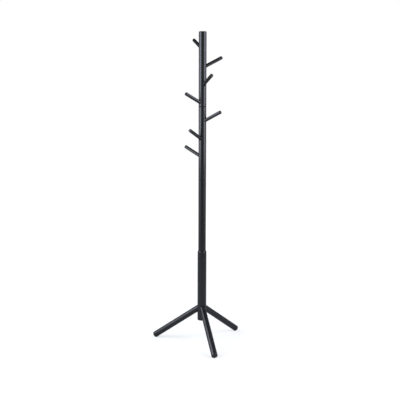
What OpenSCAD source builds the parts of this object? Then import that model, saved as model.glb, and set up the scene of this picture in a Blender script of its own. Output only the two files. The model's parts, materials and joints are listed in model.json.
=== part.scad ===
// Standing coat rack: a turned wooden pole in four screwed sections on three splayed round legs,
// with eight round pegs that climb its upper half. Each piece screws to the next one: a hanger bolt
// sits in the wood of one and runs into a hex-drive insert nut in the other.
// Millimetres, +Z up. The origin is on the floor, in the middle of the space that the rack takes up,
// and the front leg points along -Y.

/* [Pole] */
// Length of each of the four pole sections
section_length = 408; // [370:1:450]
// Diameter of the three slim sections
pole_diameter = 43; // [42:0.5:48]
// Diameter of the thick section that carries the legs
base_diameter = 51; // [48:0.5:56]
// Rounding round the very top of the pole
top_radius = 5; // [1:0.5:8]
// Height of the slow curve round the shoulder of the thick section
shoulder_height = 7; // [4:0.5:10]
// Flat ledge that the shoulder leaves round the slim section above it
shoulder_ledge = 0.4; // [0.2:0.1:0.8]
// Rounding round the foot of the pole
foot_radius = 4; // [1:0.5:8]
// Small rounding round the other ends, which leaves a fine groove at each joint
joint_radius = 1.8; // [0.4:0.1:2]

/* [Legs] */
// Diameter of a leg
leg_diameter = 35; // [30:0.5:35]
// Length along a leg's axis, from the middle of the pole to the end of the toe
leg_reach = 354; // [300:1:400]
// Angle between a leg and the pole
leg_splay = 55; // [50:0.5:60]
// Height above the foot of the pole at which the axes of the legs meet
leg_root_height = 84; // [70:1:120]
// Rounding round a toe
toe_radius = 6.5; // [5.5:0.5:8]
// Small rounding round the end that sits in the pole
leg_root_radius = 1.2; // [0.4:0.1:1.6]
// Thinnest wood left between two neighbouring leg seats
leg_seat_wall = 1; // [0.8:0.1:2]

/* [Feet] */
// Depth of the flat cut across the underside of a toe
toe_flat_depth = 2.6; // [2.2:0.1:3.5]
// Diameter of the felt pad on that flat
pad_diameter = 9; // [6:0.5:9.5]
// Thickness of the felt pad
pad_thickness = 2; // [1:0.5:4]

/* [Pegs] */
// Diameter of a peg
peg_diameter = 19; // [14:0.5:19]
// Length along a peg's axis, from the middle of the pole to the tip
peg_reach = 127; // [90:1:150]
// Angle at which a peg rises from level
peg_rise = 27; // [20:1:35]
// Height from one peg to the next
peg_spacing = 99; // [80:1:105]
// Height of the lowest peg of the top section, above the lower end of that section
top_peg_start = 14; // [12:1:40]
// Height of the lowest peg of the upper section, above the lower end of that section
upper_peg_start = 26; // [12:1:40]
// Bearings of the top section's pegs from the front leg, highest peg first
top_peg_bearings = [-168, 94, 12, -69]; // [-180:1:180]
// Bearings of the upper section's pegs from the front leg, highest peg first
upper_peg_bearings = [49, -52, -135, 166]; // [-180:1:180]
// Rounding round the tip of a peg
peg_tip_radius = 3.5; // [1:0.5:4.5]
// Small rounding round the end that sits in the pole
peg_root_radius = 0.8; // [0.2:0.1:1.5]
// Depth of a peg's seat at its shallow lower edge
peg_seat_lip = 0.5; // [0.2:0.1:1]

/* [Pole joint fasteners] */
// Thread diameter of the bolt between two sections
joint_thread = 8; // [6:1:8]
// Length of that bolt in the insert nut below it
joint_bolt_reach = 19; // [15:0.5:19.5]
// Length of that bolt in the wood above it
joint_bolt_bite = 30; // [20:1:40]
// Outer diameter of the insert nut
joint_nut_diameter = 12; // [11.5:0.5:16]
// Length of the insert nut
joint_nut_length = 20; // [20:1:28]
// Depth of the hex recess in the mouth of the insert nut
joint_hex_depth = 4; // [2:0.5:6]

/* [Leg fasteners] */
// Thread diameter of the bolt that holds a leg
leg_thread = 8; // [6:1:8]
// Length of that bolt in the insert nut
leg_bolt_reach = 10; // [8:0.5:10.5]
// Length of that bolt in the wood of the leg
leg_bolt_bite = 30; // [20:1:50]
// Outer diameter of the insert nut
leg_nut_diameter = 12; // [11.5:0.1:12.4]
// Length of the insert nut
leg_nut_length = 11; // [10.6:0.1:11.6]
// Depth of the hex recess in the mouth of the insert nut
leg_hex_depth = 2.5; // [1.5:0.5:4]

/* [Peg fasteners] */
// Thread diameter of the bolt that holds a peg
peg_thread = 6; // [5:1:6]
// Length of that bolt in the insert nut
peg_bolt_reach = 9; // [7:0.5:9.5]
// Length of that bolt in the wood of the peg
peg_bolt_bite = 25; // [15:1:40]
// Outer diameter of the insert nut
peg_nut_diameter = 9; // [8.5:0.5:9.5]
// Length of the insert nut
peg_nut_length = 10; // [9.6:0.1:10.4]
// Depth of the hex recess in the mouth of the insert nut
peg_hex_depth = 3; // [1.5:0.5:4]

/* [Fits] */
// Gap round a leg or a peg in its seat
seat_fit = 0.2; // [0.1:0.05:0.3]
// Gap between the end of a leg or a peg and the floor of its seat
seat_gap = 0.1; // [0:0.05:0.3]
// Gap round an insert nut in its hole
nut_fit = 0.15; // [0.1:0.05:0.2]
// Gap round a bolt in its insert nut
thread_fit = 0.08; // [0.05:0.01:0.1]
// Gap round a bolt in its pilot hole
pilot_fit = 0.05; // [0.02:0.01:0.1]
// Gap beyond the end of a bolt or an insert nut in its hole
end_gap = 0.3; // [0.1:0.1:0.6]
// Width across the flats of a hex recess, beyond the thread it leads to
hex_margin = 1; // [0.5:0.1:1]
// Length of the chamfer on the end of a bolt or an insert nut
fastener_chamfer = 0.8; // [0.3:0.1:1]

/* [Hidden] */
$fn = 96;

// The legs stand evenly round the pole, and each is posed by its turn from straight up.
leg_count = 3;
leg_step = 360 / leg_count;
leg_tilt = 180 - leg_splay;
peg_tilt = 90 - peg_rise;
pegs_per_section = len(top_peg_bearings);

// Distance along a leg's axis to the floor of its seat. The seats of two neighbours come closest
// where their rims face each other across the plane halfway between them.
leg_seat_radius = leg_diameter / 2 + seat_fit;
half_step = leg_step / 2;
seat_spread = sqrt(pow(cos(leg_splay) * sin(half_step), 2) + pow(cos(half_step), 2));
leg_seat = (leg_seat_wall / 2 + leg_seat_radius * seat_spread) / (sin(leg_splay) * sin(half_step));

// Distance along a peg's axis to the floor of its seat, just inside the pole at its lower edge.
peg_seat_radius = peg_diameter / 2 + seat_fit;
peg_seat = (pole_diameter / 2 - peg_seat_radius * sin(peg_rise) - peg_seat_lip) / cos(peg_rise);

// How far a toe reaches from the point where the leg axes meet, in a direction that lies at a
// given angle to the leg: its end is a disc with a rounded rim.
function toe_extent(angle) =
    (leg_reach - toe_radius) * cos(angle)
    + (leg_diameter / 2 - toe_radius) * sin(angle) + toe_radius;
// The same, level with the floor, for a leg that is turned away from that direction.
function toe_level_extent(turn) = toe_extent(acos(sin(leg_splay) * cos(turn)));

// The flats of the toes rest on the pads, and that sets the height of everything above.
leg_root_z = toe_extent(leg_splay) - toe_flat_depth + pad_thickness;
pole_foot_z = leg_root_z - leg_root_height;
// How far the shoulder comes in, to the ledge
shoulder_inset = (base_diameter - pole_diameter) / 2 - shoulder_ledge;
// Distance from the pole's axis to the middle of a pad, under the lowest point of the toe's rim.
pad_distance = (leg_reach - toe_radius) * sin(leg_splay)
    - (leg_diameter / 2 - toe_radius) * cos(leg_splay);
// The front leg reaches further forward than the other two reach back, so the pole stands this
// far behind the middle of the space that the rack takes up.
pole_y = (toe_level_extent(0) - toe_level_extent(half_step)) / 2;

section_names = ["base", "lower", "upper", "top"];
function section_z(i) = pole_foot_z + i * section_length;
function leg_bearing(k) = (k - 1) * leg_step;
function peg_bearing(k) =
    k <= pegs_per_section ? top_peg_bearings[k - 1] : upper_peg_bearings[k - pegs_per_section - 1];
function peg_height(k) =
    k <= pegs_per_section
        ? section_z(3) + top_peg_start + (pegs_per_section - k) * peg_spacing
        : section_z(2) + upper_peg_start + (2 * pegs_per_section - k) * peg_spacing;

paint = [0.10, 0.10, 0.11];
steel = [0.72, 0.73, 0.75];
zinc = [0.80, 0.74, 0.52];
felt = [0.16, 0.15, 0.15];

// ---- Places ----

// A point on the pole's axis at the height z.
module on_pole(z) {
    translate([0, pole_y, z]) children();
}

// The plane of joint k, counted from the floor up.
module at_joint(k) {
    on_pole(section_z(k)) children();
}

// The floor of the seat of leg k, looking out along the leg.
module at_leg_seat(k) {
    on_pole(leg_root_z)
        rotate([0, 0, leg_bearing(k)]) rotate([leg_tilt, 0, 0]) translate([0, 0, leg_seat]) children();
}

// The floor of the seat of peg k, looking out along the peg.
module at_peg_seat(k) {
    on_pole(peg_height(k))
        rotate([0, 0, peg_bearing(k)]) rotate([peg_tilt, 0, 0]) translate([0, 0, peg_seat]) children();
}

// ---- Shapes that repeat ----

// A turned bar that stands on z = 0, with the rim of each end rounded.
module turned_bar(diameter, length, lower_radius, upper_radius) {
    r = diameter / 2;
    rotate_extrude() {
        translate([0, lower_radius]) square([r, length - lower_radius - upper_radius]);
        square([r - lower_radius, lower_radius * 2]);
        translate([0, length - upper_radius * 2]) square([r - upper_radius, upper_radius * 2]);
        translate([r - lower_radius, lower_radius]) circle(lower_radius);
        translate([r - upper_radius, length - upper_radius]) circle(upper_radius);
    }
}

// The same bar with a slow-curved shoulder instead of an upper rounding.
module shouldered_bar(diameter, length, lower_radius, inset, height) {
    r = diameter / 2;
    curve = (height * height + inset * inset) / (2 * inset);
    rotate_extrude() {
        translate([0, lower_radius]) square([r, length - lower_radius - height]);
        square([r - lower_radius, lower_radius * 2]);
        translate([r - lower_radius, lower_radius]) circle(lower_radius);
        translate([0, length - height]) {
            square([r - inset, height]);
            intersection() {
                translate([r - curve, 0]) circle(curve);
                square([r, height]);
            }
        }
    }
}

// A hanger bolt across the plane z = 0: machine thread below it, wood thread and point above it.
module hanger_bolt(thread, reach, bite) {
    r = thread / 2;
    rotate_extrude()
        polygon([
            [0, -reach],
            [r - fastener_chamfer, -reach],
            [r, -reach + fastener_chamfer],
            [r, bite - thread],
            [r / 4, bite],
            [0, bite],
        ]);
}

// The hole that the wood half of a hanger bolt is screwed into.
module pilot_hole(thread, bite) {
    translate([0, 0, -1]) cylinder(d = thread + 2 * pilot_fit, h = 1 + bite + end_gap);
}

// An insert nut with its mouth in the plane z = 0 and a hex recess for its key.
module insert_nut(thread, diameter, length, hex_depth) {
    r = diameter / 2;
    difference() {
        rotate_extrude()
            polygon([
                [0, -length],
                [r - fastener_chamfer, -length],
                [r, -length + fastener_chamfer],
                [r, 0],
                [0, 0],
            ]);
        translate([0, 0, -length - 1]) cylinder(d = thread + 2 * thread_fit, h = length + 2);
        translate([0, 0, -hex_depth])
            cylinder(d = (thread + hex_margin) / cos(30), h = hex_depth + 1, $fn = 6);
    }
}

// The blind hole that an insert nut sits in.
module nut_hole(diameter, length) {
    translate([0, 0, -length - end_gap]) cylinder(d = diameter + 2 * nut_fit, h = length + end_gap + 1);
}

// One of the three slim sections, with a bolt in its lower end.
module slim_section(i, upper_radius) {
    difference() {
        on_pole(section_z(i)) turned_bar(pole_diameter, section_length, joint_radius, upper_radius);
        at_joint(i) pilot_hole(joint_thread, joint_bolt_bite);
    }
}

// The seat of peg k, with the hole for its insert nut.
module peg_socket(k) {
    at_peg_seat(k) {
        cylinder(r = peg_seat_radius, h = pole_diameter);
        nut_hole(peg_nut_diameter, peg_nut_length);
    }
}

// ---- Pole ----

// The thick section: three blind seats meet almost at its axis, at a compound angle.
module pole_base() {
    color(paint)
        difference() {
            on_pole(pole_foot_z)
                shouldered_bar(base_diameter, section_length, foot_radius, shoulder_inset, shoulder_height);
            at_joint(1) nut_hole(joint_nut_diameter, joint_nut_length);
            for (k = [1:leg_count])
                at_leg_seat(k) {
                    cylinder(r = leg_seat_radius, h = base_diameter);
                    nut_hole(leg_nut_diameter, leg_nut_length);
                }
        }
}

module pole_lower() {
    color(paint)
        difference() {
            slim_section(1, joint_radius);
            at_joint(2) nut_hole(joint_nut_diameter, joint_nut_length);
        }
}

module pole_upper() {
    color(paint)
        difference() {
            slim_section(2, joint_radius);
            at_joint(3) nut_hole(joint_nut_diameter, joint_nut_length);
            for (k = [pegs_per_section + 1:2 * pegs_per_section]) peg_socket(k);
        }
}

module pole_top() {
    color(paint)
        difference() {
            slim_section(3, top_radius);
            for (k = [1:pegs_per_section]) peg_socket(k);
        }
}

// Joint k joins a section to the one above it, which holds the bolt.
module joint_bolt(k) {
    color(steel) at_joint(k) hanger_bolt(joint_thread, joint_bolt_reach, joint_bolt_bite);
}

module joint_nut(k) {
    color(zinc) at_joint(k)
        insert_nut(joint_thread, joint_nut_diameter, joint_nut_length, joint_hex_depth);
}

// ---- Legs ----

// A leg is square at its seat, so that it can turn as it is screwed in, and has a flat under its toe.
module leg(k) {
    length = leg_reach - leg_seat - seat_gap;
    color(paint)
        difference() {
            at_leg_seat(k)
                translate([0, 0, seat_gap]) turned_bar(leg_diameter, length, leg_root_radius, toe_radius);
            at_leg_seat(k) pilot_hole(leg_thread, leg_bolt_bite);
            translate([-leg_reach, -leg_reach, pad_thickness - leg_diameter])
                cube([2 * leg_reach, 2 * leg_reach, leg_diameter]);
        }
}

module leg_bolt(k) {
    color(steel) at_leg_seat(k) hanger_bolt(leg_thread, leg_bolt_reach, leg_bolt_bite);
}

module leg_nut(k) {
    color(zinc) at_leg_seat(k) insert_nut(leg_thread, leg_nut_diameter, leg_nut_length, leg_hex_depth);
}

module foot_pad(k) {
    color(felt)
        on_pole(0) rotate([0, 0, leg_bearing(k)]) translate([0, -pad_distance, 0])
            cylinder(d = pad_diameter, h = pad_thickness);
}

// ---- Pegs ----

module peg(k) {
    length = peg_reach - peg_seat - seat_gap;
    color(paint)
        at_peg_seat(k)
            difference() {
                translate([0, 0, seat_gap])
                    turned_bar(peg_diameter, length, peg_root_radius, peg_tip_radius);
                pilot_hole(peg_thread, peg_bolt_bite);
            }
}

module peg_bolt(k) {
    color(steel) at_peg_seat(k) hanger_bolt(peg_thread, peg_bolt_reach, peg_bolt_bite);
}

module peg_nut(k) {
    color(zinc) at_peg_seat(k) insert_nut(peg_thread, peg_nut_diameter, peg_nut_length, peg_hex_depth);
}

pole_base();
pole_lower();
pole_upper();
pole_top();
for (k = [1:3]) {
    joint_bolt(k);
    joint_nut(k);
    leg(k);
    leg_bolt(k);
    leg_nut(k);
    foot_pad(k);
}
for (k = [1:8]) {
    peg(k);
    peg_bolt(k);
    peg_nut(k);
}
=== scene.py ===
import json
import math

import bmesh
import bpy
from mathutils import Euler, Matrix, Vector, noise

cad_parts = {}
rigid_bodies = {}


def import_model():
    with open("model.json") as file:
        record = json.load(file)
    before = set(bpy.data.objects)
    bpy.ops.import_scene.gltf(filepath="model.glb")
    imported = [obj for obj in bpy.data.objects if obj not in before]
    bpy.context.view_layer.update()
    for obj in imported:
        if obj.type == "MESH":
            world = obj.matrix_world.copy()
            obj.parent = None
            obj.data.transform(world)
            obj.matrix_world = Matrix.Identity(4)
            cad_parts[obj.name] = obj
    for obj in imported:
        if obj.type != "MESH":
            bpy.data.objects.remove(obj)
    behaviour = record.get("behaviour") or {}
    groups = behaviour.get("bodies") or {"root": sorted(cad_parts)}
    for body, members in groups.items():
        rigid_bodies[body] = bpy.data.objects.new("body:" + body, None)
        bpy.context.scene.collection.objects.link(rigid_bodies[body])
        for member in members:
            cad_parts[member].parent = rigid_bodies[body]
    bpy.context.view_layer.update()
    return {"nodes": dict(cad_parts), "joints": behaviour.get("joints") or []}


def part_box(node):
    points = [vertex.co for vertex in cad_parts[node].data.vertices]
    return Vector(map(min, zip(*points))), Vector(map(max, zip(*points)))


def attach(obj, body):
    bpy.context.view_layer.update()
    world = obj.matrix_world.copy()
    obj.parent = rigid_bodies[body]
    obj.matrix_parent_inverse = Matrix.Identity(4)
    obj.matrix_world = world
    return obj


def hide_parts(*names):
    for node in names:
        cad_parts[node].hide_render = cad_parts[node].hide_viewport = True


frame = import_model()
nodes = frame["nodes"]
joints = {joint["name"]: joint for joint in frame["joints"]}


# ---- Pole -------------------------------------------------------------------
# Four turned beech sections, sprayed satin black. The ends that screw together
# are faced off bare, and so are the bored seats of the legs and pegs.

SECTIONS = ["pole_base", "pole_lower", "pole_upper", "pole_top"]
POLE_RADIUS = 0.0215
LEG_RADIUS = 0.0175
PEG_RADIUS = 0.0095
END_RIM = 0.0018  # the painted rounding round a faced end

PAINT = (0.0082, 0.0086, 0.0096)
PAINT_IOR = 1.5
POLE_GLOSS = 0.22
PEEL_BUMP = (0.25, 0.00001)  # strength, and depth in metres
BEECH_EARLY = (0.56, 0.36, 0.20, 1)
BEECH_LATE = (0.38, 0.21, 0.10, 1)
PITH = (0.013, 0.021, 0)
RING_SCALE = 170.0
BARE_DULLER = 0.35
# The rim round a joint is darkened as painted shade in the joint's gap, and made duller.
RIM_PAINTED_SHADE, RIM_DULLER = -0.85, 0.65


class Graph:
    """Adds shader nodes to a node tree, each linked as it is made."""

    def __init__(self, tree):
        self.tree = tree

    def add(self, kind, settings=(), **inputs):
        node = self.tree.nodes.new("ShaderNode" + kind)
        for name, value in dict(settings).items():
            setattr(node, name, value)
        for name, value in inputs.items():
            self.feed(node, name, value)
        return node

    def feed(self, node, name, value):
        """Sets or links an input, by its name or as i and its number."""
        key = int(name[1:]) if name[1:].isdigit() else name.replace("_", " ")
        socket = node.inputs[key]
        if isinstance(value, bpy.types.NodeSocket):
            self.tree.links.new(value, socket)
        else:
            socket.default_value = value

    def math(self, operation, *values, clamp=False):
        settings = {"operation": operation, "use_clamp": clamp}
        inputs = {f"i{i}": value for i, value in enumerate(values)}
        return self.add("Math", settings, **inputs).outputs[0]

    def vector(self, operation, first, second=None):
        node = self.add("VectorMath", {"operation": operation}, i0=first)
        if second is not None:
            self.feed(node, "i1", second)
        return node

    def noise(self, vector, scale, detail=2.0, seed=0.0):
        inputs = {"Vector": vector, "Scale": scale, "Detail": detail, "W": seed}
        return self.add("TexNoise", {"noise_dimensions": "4D"}, **inputs).outputs["Fac"]

    def ramp(self, value, low, high, start=0.0, end=1.0):
        inputs = {"Value": value, "i1": low, "i2": high, "i3": start, "i4": end}
        return self.add("MapRange", **inputs).outputs["Result"]

    def blend(self, factor, first, second):
        """A mix of two colours."""
        node = self.add("Mix", {"data_type": "RGBA"}, i0=factor)
        self.feed(node, "i6", first)
        self.feed(node, "i7", second)
        return node.outputs[2]

    def stretch(self, vector, scale):
        return self.add("Mapping", Vector=vector, Scale=scale).outputs[0]

    def bump(self, height, strength, depth):
        return self.add("Bump", Strength=strength, Distance=depth, Height=height).outputs[0]

    def group(self, tree, **inputs):
        return self.add("Group", {"node_tree": tree}, **inputs).outputs


def new_group(name, inputs, outputs):
    """An empty node group with its sockets, each (name, type, value)."""
    tree = bpy.data.node_groups.new(name, "ShaderNodeTree")
    for socket, kind, value in inputs:
        made = tree.interface.new_socket(socket, in_out="INPUT", socket_type="NodeSocket" + kind)
        if value is not None:
            made.default_value = value
    for socket, kind in outputs:
        tree.interface.new_socket(socket, in_out="OUTPUT", socket_type="NodeSocket" + kind)
    given = tree.nodes.new("NodeGroupInput").outputs
    result = tree.nodes.new("NodeGroupOutput")
    return Graph(tree), given, result


def new_material(name):
    """A material with one principled shader."""
    material = bpy.data.materials.new(name)
    material.use_nodes = True
    tree = material.node_tree
    tree.nodes.clear()
    graph = Graph(tree)
    shader = graph.add("BsdfPrincipled")
    graph.add("OutputMaterial", Surface=shader.outputs["BSDF"])
    return material, graph, shader


# The sprayed film: orange peel from the gun over grain that still telegraphs
# through, and a gloss and a tone that change slightly along the piece.
graph, given, result = new_group(
    "sprayed_film",
    [("Vector", "Vector", None), ("Seed", "Float", 0.0)],
    [("Roughness", "Float"), ("Height", "Float"), ("Tone", "Float")],
)
film = graph.tree
grain = graph.noise(graph.stretch(given["Vector"], (1, 1, 0.03)), 900, 3, given["Seed"])
peel = graph.noise(given["Vector"], 420, 1, given["Seed"])
cloud = graph.noise(graph.stretch(given["Vector"], (1, 1, 0.25)), 24, 2, given["Seed"])
height = graph.math("MULTIPLY_ADD", grain, 0.45, graph.math("MULTIPLY", peel, 0.55))
cloud_gloss = graph.ramp(cloud, 0.3, 0.7, -0.035, 0.035)
grain_gloss = graph.ramp(grain, 0.35, 0.65, -0.012, 0.012)
graph.feed(result, "Height", height)
graph.feed(result, "Roughness", graph.math("ADD", cloud_gloss, grain_gloss))
graph.feed(result, "Tone", graph.ramp(cloud, 0.3, 0.7, 0.9, 1.15))

# A faced or bored end: 1 on the flat disc that the axis stands on, and a rim
# outside it that is duller, and darker as painted shade in the joint's gap.
FACE_DEPTH = (0.00035, 0.0002)  # where the bare face ends and where it is full
RIM_DEPTH = (0.0034, 0.0020)
RIM_WIDTH = 0.004
RAGGED = 0.00018
graph, given, result = new_group(
    "faced_end",
    [
        ("Vector", "Vector", None),
        ("Centre", "Vector", None),
        ("Axis", "Vector", None),
        ("Radius", "Float", 0.01),
    ],
    [("Bare", "Float"), ("Rim", "Float")],
)
faced_end = graph.tree
offset = graph.vector("SUBTRACT", given["Vector"], given["Centre"]).outputs[0]
rise = graph.vector("DOT_PRODUCT", offset, given["Axis"]).outputs["Value"]
reach = graph.vector("LENGTH", offset).outputs["Value"]
ragged = graph.ramp(graph.noise(given["Vector"], 1800, 2), 0.3, 0.7, -RAGGED, RAGGED)
inside = graph.math("LESS_THAN", graph.math("ADD", reach, ragged), given["Radius"])
level = graph.math("ABSOLUTE", rise)
graph.feed(result, "Bare", graph.math("MULTIPLY", inside, graph.ramp(level, *FACE_DEPTH)))
near = graph.math("LESS_THAN", reach, graph.math("ADD", given["Radius"], RIM_WIDTH))
graph.feed(result, "Rim", graph.math("MULTIPLY", near, graph.ramp(level, *RIM_DEPTH)))

# Bare beech seen on its end grain: growth rings round the pith, and pores.
graph, given, result = new_group(
    "bare_beech",
    [("Vector", "Vector", None), ("Seed", "Float", 0.0)],
    [("Color", "Color"), ("Height", "Float")],
)
bare_beech = graph.tree
rings = graph.add(
    "TexWave",
    {"wave_type": "RINGS", "rings_direction": "Z"},
    Vector=graph.add("Mapping", Vector=given["Vector"], Location=PITH).outputs[0],
    Scale=RING_SCALE,
    Distortion=2.5,
    Detail=2.0,
    Detail_Scale=1.5,
).outputs["Fac"]
pores = graph.ramp(graph.noise(given["Vector"], 3200, 1, given["Seed"]), 0.36, 0.5)
early = graph.math("MULTIPLY", rings, pores)
height = graph.math("MULTIPLY_ADD", pores, 0.7, graph.math("MULTIPLY", rings, 0.3))
graph.feed(result, "Color", graph.blend(early, BEECH_LATE, BEECH_EARLY))
graph.feed(result, "Height", height)


def frame_of(joint):
    """The frame of a screwed joint: its origin on the seat, Z out along the screw."""
    turn = Vector(joint["axis"]).to_track_quat("Z", "Y").to_matrix().to_4x4()
    return Matrix.Translation(Vector(joint["pos_m"])) @ turn


def painted_wood(name, place, seed, gloss, ends):
    """Black paint on a turned piece whose own frame is place.

    Gloss is the paint's roughness, and ends are the centre, axis and radius of
    each bare face.
    """
    material, graph, shader = new_material(name)
    shader.inputs["IOR"].default_value = PAINT_IOR
    world_point = graph.add("TexCoord").outputs["Object"]
    home = place.inverted()
    along = graph.add(
        "Mapping", Vector=world_point, Location=home.translation, Rotation=home.to_euler()
    ).outputs[0]
    coat = graph.group(film, Vector=along, Seed=seed)
    bare, rim = 0.0, 0.0
    for centre, axis, radius in ends:
        end = graph.group(faced_end, Vector=world_point, Centre=centre, Axis=axis, Radius=radius)
        bare = graph.math("ADD", bare, end["Bare"], clamp=True)
        rim = graph.math("ADD", rim, end["Rim"], clamp=True)
    wood = graph.group(bare_beech, Vector=along, Seed=seed)
    # The rim's darkening is painted shade in the gap of the joint.
    tone = graph.math("MULTIPLY_ADD", rim, RIM_PAINTED_SHADE, coat["Tone"])
    black = graph.vector("SCALE", PAINT)
    graph.feed(black, "Scale", tone)
    graph.feed(shader, "Base_Color", graph.blend(bare, black.outputs[0], wood["Color"]))
    base = graph.math("MULTIPLY_ADD", rim, RIM_DULLER, gloss)
    rough = graph.math("ADD", base, coat["Roughness"])
    graph.feed(shader, "Roughness", graph.math("MULTIPLY_ADD", bare, BARE_DULLER, rough))
    height = graph.math("ADD", coat["Height"], graph.math("MULTIPLY", bare, wood["Height"]))
    graph.feed(shader, "Normal", graph.bump(height, *PEEL_BUMP))
    return material


def dress(node, material):
    node.data.materials.clear()
    node.data.materials.append(material)


SEAT_RADIUS = {
    "pole": POLE_RADIUS - END_RIM,
    "leg": LEG_RADIUS - END_RIM,
    "peg": PEG_RADIUS - END_RIM,
}


def seat_of(piece):
    """The bare face that a screwed piece stands on: centre, axis and radius."""
    joint = joints[piece + "_unscrew"]
    radius = SEAT_RADIUS[piece.split("_")[0]]
    return Vector(joint["pos_m"]), Vector(joint["axis"]), radius


pole_axis = Vector(joints["pole_lower_unscrew"]["pos_m"]) * Vector((1, 1, 0))
seats = {section: [] for section in SECTIONS}
for name, joint in joints.items():
    if name.endswith("_unscrew"):
        piece = name.removesuffix("_unscrew")
        seats[joint["parent"]].append(seat_of(piece))
        if piece in SECTIONS:
            seats[piece].append(seat_of(piece))
for i, section in enumerate(SECTIONS):
    place = Matrix.Translation(pole_axis)
    paint = painted_wood(section + "_paint", place, 3.1 * i, POLE_GLOSS, seats[section])
    dress(nodes[section], paint)


# ---- Legs -------------------------------------------------------------------
# Three turned beech legs of one diameter, sprayed like the pole. The root is
# faced off bare where it sits on its seat, and the toe is rounded and painted.

LEGS = ["leg_1", "leg_2", "leg_3"]
LEG_GLOSS = 0.30


def dress_screwed(piece, seed, gloss):
    """Paints a leg or peg in the frame of the screw that holds it."""
    place = frame_of(joints[piece + "_unscrew"])
    paint = painted_wood(piece + "_paint", place, seed, gloss, [seat_of(piece)])
    dress(nodes[piece], paint)


for i, leg in enumerate(LEGS):
    dress_screwed(leg, 20 + 2.7 * i, LEG_GLOSS)


# ---- Pegs -------------------------------------------------------------------
# Eight turned beech pegs with rounded tips, sprayed like the pole and screwed
# into bored seats that climb round its upper half.

PEGS = [f"peg_{i}" for i in range(1, 9)]
PEG_GLOSS = 0.26

for i, peg in enumerate(PEGS):
    dress_screwed(peg, 40 + 1.9 * i, PEG_GLOSS)


# ---- Hanger bolts -----------------------------------------------------------
# Zinc-plated steel bolts, M8 in the pole and legs and M6 in the pegs: a machine
# thread that goes into the nut, a plain collar, and a wood thread with a point
# that is driven into the bore of the piece it carries.

M8 = {"radius": 0.004, "pitch": 0.00125, "coarse": 0.0030}
M6 = {"radius": 0.003, "pitch": 0.0010, "coarse": 0.0025}
COLLAR_LOW, COLLAR_HIGH = -0.0006, 0.0018
RUN_OUT = 0.0016
BOLT_CHAMFER = 0.0008
POINT_TAPER = 0.75
TURN_STEPS = 24
SHARP_ANGLE = math.radians(34)

ZINC = (0.60, 0.61, 0.63, 1)
ZINC_GROOVE = (0.34, 0.34, 0.35, 1)
PLATING_BUMP = (0.25, 0.00003)

# Plating dulls in small clouds, and its colour is darker in the roots of a thread,
# in patches; Crest is the radius of the thread's outer edge.
graph, given, result = new_group(
    "plating",
    [("Vector", "Vector", None), ("Crest", "Float", 0.004)],
    [("Groove", "Float"), ("Roughness", "Float"), ("Height", "Float")],
)
plating = graph.tree
across = graph.vector("MULTIPLY", given["Vector"], (1, 1, 0)).outputs[0]
radius = graph.vector("LENGTH", across).outputs["Value"]
clouds = graph.noise(given["Vector"], 700, 3)
depth = graph.ramp(graph.math("DIVIDE", radius, given["Crest"]), 0.96, 0.78)
# The colour is darker deep in the thread, in patches.
root_patches = graph.ramp(clouds, 0.2, 0.6, 0.5, 1)
graph.feed(result, "Groove", graph.math("MULTIPLY", depth, root_patches))
graph.feed(result, "Roughness", graph.ramp(clouds, 0.3, 0.7, 0.24, 0.42))
graph.feed(result, "Height", graph.noise(graph.stretch(given["Vector"], (1, 1, 9)), 1500, 2))


def plated(name, crest, bright, groove):
    """Plated metal, laid in the frame that the part keeps in screw_frame."""
    material, graph, shader = new_material(name)
    point = graph.add("Attribute", {"attribute_name": "screw_frame"}).outputs["Vector"]
    skin = graph.group(plating, Vector=point, Crest=crest)
    graph.feed(shader, "Base_Color", graph.blend(skin["Groove"], bright, groove))
    graph.feed(shader, "Metallic", 1.0)
    graph.feed(shader, "Roughness", skin["Roughness"])
    graph.feed(shader, "Normal", graph.bump(skin["Height"], *PLATING_BUMP))
    return material


def wind_thread(shape, profile, pitch, low, high):
    """Winds one turn's profile up a helix and trims both ends flat.

    The profile is pairs of radius and rise.
    """
    coil = bmesh.new()
    turns = math.ceil((high - low) / pitch) + 3
    start = low - 1.5 * pitch
    corners = [coil.verts.new((radius, 0, start + rise)) for radius, rise in profile]
    edges = [coil.edges.new(pair) for pair in zip(corners, corners[1:])]
    bmesh.ops.spin(
        coil,
        geom=corners + edges,
        axis=(0, 0, 1),
        dvec=(0, 0, pitch / TURN_STEPS),
        angle=turns * math.tau,
        steps=turns * TURN_STEPS,
    )
    bmesh.ops.remove_doubles(coil, verts=coil.verts, dist=3e-6)
    for height, away in ((low, -1), (high, 1)):
        everything = coil.verts[:] + coil.edges[:] + coil.faces[:]
        cut = {"plane_co": (0, 0, height), "plane_no": (0, 0, away)}
        bmesh.ops.bisect_plane(coil, geom=everything, dist=1e-7, clear_outer=True, **cut)
    carried = bpy.data.meshes.new("coil")
    coil.to_mesh(carried)
    coil.free()
    shape.from_mesh(carried)
    bpy.data.meshes.remove(carried)


def rim_at(shape, height):
    """The open edges of the tubes at one height."""
    return [
        edge
        for edge in shape.edges
        if edge.is_boundary and all(abs(vert.co.z - height) < 2e-6 for vert in edge.verts)
    ]


def scale_round(shape, width):
    """Draws each point to the radius that width(radius, height) gives."""
    for vert in shape.verts:
        radius = vert.co.xy.length
        if radius > 1e-6:
            factor = width(radius, vert.co.z) / radius
            vert.co.x *= factor
            vert.co.y *= factor


def raised_verts(geometry):
    """The new points of an extrusion."""
    return [item for item in geometry if isinstance(item, bmesh.types.BMVert)]


def new_object(name, data):
    made = bpy.data.objects.new(name, data)
    bpy.context.scene.collection.objects.link(made)
    return made


def finished_mesh(shape, name, material):
    """The mesh of a finished shape, which is freed."""
    mesh = bpy.data.meshes.new(name)
    shape.to_mesh(mesh)
    shape.free()
    mesh.materials.append(material)
    return mesh


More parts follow.
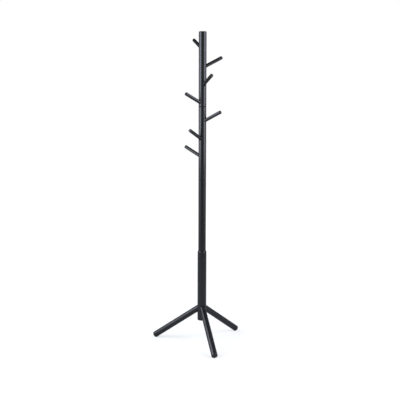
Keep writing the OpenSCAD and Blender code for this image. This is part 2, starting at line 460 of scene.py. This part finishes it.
def fit_on_seat(shape, name, piece, body, node, material):
    """Moves a part made on its own seat to its piece's and gives it to its body."""
    bmesh.ops.recalc_face_normals(shape, faces=shape.faces)
    own = shape.verts.layers.float_vector.new("screw_frame")
    for vert in shape.verts:
        vert[own] = vert.co
    place = frame_of(joints[piece + "_unscrew"])
    bmesh.ops.transform(shape, matrix=place, verts=shape.verts)
    mesh = finished_mesh(shape, name, material)
    mesh.shade_smooth()
    mesh.set_sharp_from_angle(angle=SHARP_ANGLE)
    part = new_object(name, mesh)
    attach(part, body)
    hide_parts(node)


def hanger_bolt(radius, pitch, coarse, reach, bite):
    """One bolt on its seat: machine thread down to -reach, wood thread up to bite."""
    root, core, collar = radius - 0.61 * pitch, 0.7 * radius, 0.93 * radius
    point = bite - 2 * radius
    machine = [(root, 0), (radius, 0.44 * pitch), (radius, 0.56 * pitch), (root, pitch)]
    wood = [
        (core, 0),
        (core, 0.3 * coarse),
        (radius, 0.52 * coarse),
        (radius, 0.58 * coarse),
        (core, coarse),
    ]

    def width(now, height):
        if COLLAR_LOW - RUN_OUT < height < COLLAR_HIGH + 2 * RUN_OUT:
            below = (COLLAR_LOW - height) / RUN_OUT
            above = (height - COLLAR_HIGH) / (2 * RUN_OUT)
            share = min(1, max(0, below, above))
            now = collar + (now - collar) * share
        if height > point:
            now *= 1 - POINT_TAPER * (height - point) / (bite - point)
        return min(now, radius - BOLT_CHAMFER + height + reach)

    shape = bmesh.new()
    wind_thread(shape, machine, pitch, -reach, COLLAR_LOW)
    wind_thread(shape, wood, coarse, COLLAR_HIGH, bite)
    scale_round(shape, width)
    bmesh.ops.bridge_loops(shape, edges=rim_at(shape, COLLAR_LOW) + rim_at(shape, COLLAR_HIGH))
    for height in (-reach, bite):
        bmesh.ops.holes_fill(shape, edges=rim_at(shape, height), sides=0)
    return shape


zinc_m8 = plated("zinc_plated_m8", M8["radius"], ZINC, ZINC_GROOVE)
zinc_m6 = plated("zinc_plated_m6", M6["radius"], ZINC, ZINC_GROOVE)
SCREWED = {"joint": SECTIONS[1:], "leg": LEGS, "peg": PEGS}
# Thread, reach into the nut, bite into the wood, and metal.
BOLTS = {
    "joint": (M8, 0.019, 0.030, zinc_m8),
    "leg": (M8, 0.010, 0.030, zinc_m8),
    "peg": (M6, 0.009, 0.025, zinc_m6),
}
for family, (thread, reach, bite, zinc) in BOLTS.items():
    bolt = hanger_bolt(reach=reach, bite=bite, **thread)
    for i, piece in enumerate(SCREWED[family], 1):
        fit_on_seat(
            bolt.copy(),
            f"{family}_hanger_bolt_{i}",
            piece,
            body=piece,
            node=f"{family}_bolt_{i}",
            material=zinc,
        )
    bolt.free()


# ---- Insert nuts ------------------------------------------------------------
# Die-cast zinc nuts with a yellow passivated skin, driven into the pole's bores
# by their outer thread with a hexagon key, and tapped for the hanger bolts.

NUT_RADIUS_M8, NUT_RADIUS_M6 = 0.006, 0.0045
NUT_PITCH = 0.0026
NUT_CHAMFER = 0.0008
KNIFE_DEPTH = 0.0007
TAP_CLEARANCE = 0.00008
CROWN_LOW, CROWN_RISE = -0.0014, 0.0008  # where the knife thread swells to a full collar
BRASSY_ZINC = (0.66, 0.56, 0.33, 1)
BRASSY_GROOVE = (0.36, 0.28, 0.15, 1)


def insert_nut(radius, bolt, length, key_width, key_depth):
    """One nut under its seat: a knife thread outside, a key socket over a tapped bore."""
    core, bore, pitch = radius - KNIFE_DEPTH, bolt["radius"] + TAP_CLEARANCE, bolt["pitch"]
    deep = bore + 0.55 * pitch
    knife = [
        (core, 0),
        (core, 0.4 * NUT_PITCH),
        (radius, 0.66 * NUT_PITCH),
        (radius, 0.74 * NUT_PITCH),
        (core, NUT_PITCH),
    ]
    tapped = [
        (bore, 0),
        (bore, 0.1 * pitch),
        (deep, 0.5 * pitch),
        (bore, 0.9 * pitch),
        (bore, pitch),
    ]
    middle = radius - 0.0012

    def width(now, height):
        if now > middle:
            share = min(1, max(0, (height - CROWN_LOW) / CROWN_RISE))
            now = now + (radius - now) * share
            return min(now, radius - NUT_CHAMFER + height + length)
        return now

    shape = bmesh.new()
    wind_thread(shape, knife, NUT_PITCH, -length, 0.0)
    wind_thread(shape, tapped, pitch, -length, -key_depth)
    scale_round(shape, width)
    hexagon = bmesh.ops.create_circle(shape, segments=6, radius=key_width / math.sqrt(3))
    socket = [edge for edge in shape.edges if all(vert in hexagon["verts"] for vert in edge.verts)]
    walls = bmesh.ops.extrude_edge_only(shape, edges=socket)
    bmesh.ops.translate(shape, vec=(0, 0, -key_depth), verts=raised_verts(walls["geom"]))
    for height in (0.0, -key_depth, -length):
        bmesh.ops.triangle_fill(shape, edges=rim_at(shape, height), use_beauty=True)
    return shape


# Outer radius, bolt, length, and the width and depth of the key's socket.
NUTS = {
    "joint": (NUT_RADIUS_M8, M8, 0.020, 0.009, 0.004),
    "leg": (NUT_RADIUS_M8, M8, 0.011, 0.009, 0.0025),
    "peg": (NUT_RADIUS_M6, M6, 0.010, 0.007, 0.003),
}
brassy_m8 = plated("passivated_zinc_m8", NUT_RADIUS_M8, BRASSY_ZINC, BRASSY_GROOVE)
brassy_m6 = plated("passivated_zinc_m6", NUT_RADIUS_M6, BRASSY_ZINC, BRASSY_GROOVE)
for family, sizes in NUTS.items():
    nut = insert_nut(*sizes)
    for i, piece in enumerate(SCREWED[family], 1):
        fit_on_seat(
            nut.copy(),
            f"{family}_insert_nut_{i}",
            piece,
            body=f"{family}_nut_{i}",
            node=f"{family}_nut_{i}",
            material=brassy_m6 if family == "peg" else brassy_m8,
        )
    nut.free()


# ---- Felt pads --------------------------------------------------------------
# Discs punched from pressed grey-black wool felt and glued under the toes. The
# cut edge is slightly furry, and the face is pressed flat by the rack's weight.

FELT = (0.035, 0.034, 0.033, 1)
FELT_LIGHT = (0.085, 0.082, 0.078, 1)
FELT_BUMP = (0.8, 0.0002)
PAD_BEVEL = 0.0004
PAD_RINGS, RING_SHARE = 3, 0.22
FUR_SCALE, FUR_SHARE = 2500, 0.012

felt, graph, shader = new_material("wool_felt")
point = graph.add("TexCoord").outputs["Object"]
fibres = graph.noise(graph.stretch(point, (1, 2.2, 1)), 2600, 4)
matted = graph.noise(point, 700, 2)
graph.feed(shader, "Base_Color", graph.blend(graph.ramp(fibres, 0.45, 0.7), FELT, FELT_LIGHT))
graph.feed(shader, "Roughness", 0.95)
graph.feed(shader, "Sheen_Weight", 0.3)
graph.feed(shader, "Sheen_Roughness", 0.6)
height = graph.math("ADD", fibres, graph.math("MULTIPLY", matted, 0.6))
graph.feed(shader, "Normal", graph.bump(height, *FELT_BUMP))

for i, leg in enumerate(LEGS, 1):
    low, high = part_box(f"foot_pad_{i}")
    centre = (Vector(low) + Vector(high)) / 2
    radius, thickness = (high[0] - low[0]) / 2, high[2] - low[2]
    shape = bmesh.new()
    bmesh.ops.create_circle(shape, cap_ends=True, radius=radius, segments=48)
    raised = bmesh.ops.extrude_face_region(shape, geom=shape.faces[:])["geom"]
    bmesh.ops.translate(shape, vec=(0, 0, thickness), verts=raised_verts(raised))
    rims = [edge for edge in shape.edges if abs(edge.verts[0].co.z - edge.verts[1].co.z) < 1e-6]
    bevel = {"segments": 3, "profile": 0.5, "affect": "EDGES", "material": -1}
    bmesh.ops.bevel(shape, geom=rims, offset=PAD_BEVEL, **bevel)
    caps = [face for face in shape.faces if len(face.verts) > 4]
    for _ in range(PAD_RINGS):
        bmesh.ops.inset_region(shape, faces=caps, thickness=radius * RING_SHARE)
    bmesh.ops.recalc_face_normals(shape, faces=shape.faces)
    for vert in shape.verts:
        fur = noise.noise(vert.co * FUR_SCALE + Vector((i, 0, 0)))
        vert.co.xy *= 1 - FUR_SHARE * (1 + fur)
    bmesh.ops.translate(shape, vec=centre - Vector((0, 0, thickness / 2)), verts=shape.verts)
    mesh = finished_mesh(shape, f"felt_pad_{i}", felt)
    mesh.shade_smooth()
    pad = new_object(f"felt_pad_{i}", mesh)
    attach(pad, leg)
    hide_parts(f"foot_pad_{i}")


# ---- Camera -----------------------------------------------------------------
# A long lens some four metres from the pole and a little to one side of the
# front leg, tipped down. Bearings are counted round the pole's axis.

CAMERA_BEARING = math.radians(-14.19)
CAMERA_DISTANCE = 4.155
CAMERA_HEIGHT = 1.4534
CAMERA_YAW, CAMERA_PITCH, CAMERA_ROLL = (
    math.radians(angle) for angle in (-0.170, 8.530, 0.157)
)
SENSOR_WIDTH, LENS = 36, 66.920

camera_data = bpy.data.cameras.new("camera")
camera_data.sensor_width = SENSOR_WIDTH
camera_data.lens = LENS
camera = new_object("camera", camera_data)
forward = Vector((
    math.sin(CAMERA_YAW) * math.cos(CAMERA_PITCH),
    math.cos(CAMERA_YAW) * math.cos(CAMERA_PITCH),
    -math.sin(CAMERA_PITCH),
))
right = Vector((math.cos(CAMERA_YAW), -math.sin(CAMERA_YAW), 0))
up = right.cross(forward)
right, up = (
    right * math.cos(CAMERA_ROLL) + up * math.sin(CAMERA_ROLL),
    up * math.cos(CAMERA_ROLL) - right * math.sin(CAMERA_ROLL),
)
camera.matrix_world = (
    Matrix.Translation(pole_axis)
    @ Matrix.Rotation(CAMERA_BEARING, 4, "Z")
    @ Matrix.Translation(Vector((0, -CAMERA_DISTANCE, CAMERA_HEIGHT)))
    @ Matrix((right, up, -forward)).transposed().to_4x4()
)
bpy.context.scene.camera = camera


# ---- Studio -----------------------------------------------------------------
# Two tall soft boxes that draw the strips down the pole, and two low, dim cards
# for the legs. The surround and the floor look white to the camera, dim to a
# reflection, and the floor's glow fades in round the rack and keeps its shadow.

LAMP_COLOUR = (0.90, 0.97, 1.12)
WHITE = (1, 1, 1, 1)
SURROUND_LIGHT = 0.35
SURROUND_MIRRORED = (0.1, 0.8, 0.27, 0.06)  # from this rise to that, and its strength at each
FLOOR_RADIUS = 30
FLOOR_GREY = (0.45, 0.45, 0.45, 1)
FLOOR_GLOW = (0.6, 3.0, 0.61, 0.86)  # from this distance to that, and its strength at each
FLOOR_MIRRORED = 0.12


def softbox(name, bearing, distance, low, high, width, radiance):
    """A tall rectangle of light that faces the pole; bearing is from the camera's."""
    data = bpy.data.lights.new(name, "AREA")
    data.shape = "RECTANGLE"
    data.size = width
    data.size_y = high - low
    data.energy = radiance * math.pi * width * (high - low)
    data.color = LAMP_COLOUR
    lamp = new_object(name, data)
    angle = CAMERA_BEARING + math.radians(bearing)
    middle = Vector((math.sin(angle) * distance, -math.cos(angle) * distance, (low + high) / 2))
    facing = Euler((math.radians(90), 0, angle)).to_matrix().to_4x4()
    lamp.matrix_world = Matrix.Translation(pole_axis + middle) @ facing


softbox("softbox_left", -71, 2.2, 0.85, 3.6, 2.4, 4.2)
softbox("softbox_right", 70, 2.2, 0.85, 3.6, 2.3, 3.6)
softbox("card_left", -76, 2.1, 0.20, 0.85, 2.3, 0.7)
softbox("card_right", 76, 2.1, 0.20, 0.85, 2.3, 0.5)


def mirrored_in(graph, rays):
    """1 for a ray that left metal, gloss or glass."""
    return graph.math("MAXIMUM", rays["Is Glossy Ray"], rays["Is Transmission Ray"])


world = bpy.data.worlds.new("surround")
bpy.context.scene.world = world
world.use_nodes = True
world.node_tree.nodes.clear()
graph = Graph(world.node_tree)
rays = graph.add("LightPath").outputs
direction = graph.add("TexCoord").outputs["Generated"]
rise = graph.add("SeparateXYZ", Vector=direction).outputs["Z"]
seen = graph.ramp(rise, *SURROUND_MIRRORED)
change = graph.math("SUBTRACT", seen, SURROUND_LIGHT)
strength = graph.math("MULTIPLY_ADD", mirrored_in(graph, rays), change, SURROUND_LIGHT)
strength = graph.math("MAXIMUM", strength, rays["Is Camera Ray"])
surround = graph.add("Background", Color=WHITE, Strength=strength)
graph.add("OutputWorld", Surface=surround.outputs[0])

material = bpy.data.materials.new("floor")
material.use_nodes = True
material.node_tree.nodes.clear()
graph = Graph(material.node_tree)
rays = graph.add("LightPath").outputs
matt = graph.add("BsdfDiffuse", Color=FLOOR_GREY)
away = graph.vector("LENGTH", graph.add("TexCoord").outputs["Object"]).outputs["Value"]
white = graph.ramp(away, *FLOOR_GLOW)
dimmed = graph.math("MULTIPLY", mirrored_in(graph, rays), FLOOR_MIRRORED)
share = graph.math("MAXIMUM", rays["Is Camera Ray"], dimmed)
glow = graph.add("Emission", Color=WHITE, Strength=graph.math("MULTIPLY", white, share))
both = graph.add("AddShader", i0=matt.outputs[0], i1=glow.outputs[0])
graph.add("OutputMaterial", Surface=both.outputs[0])

shape = bmesh.new()
bmesh.ops.create_circle(shape, cap_ends=True, radius=FLOOR_RADIUS, segments=64)
floor = new_object("floor", finished_mesh(shape, "floor", material))

bpy.context.scene.view_settings.view_transform = "Standard"
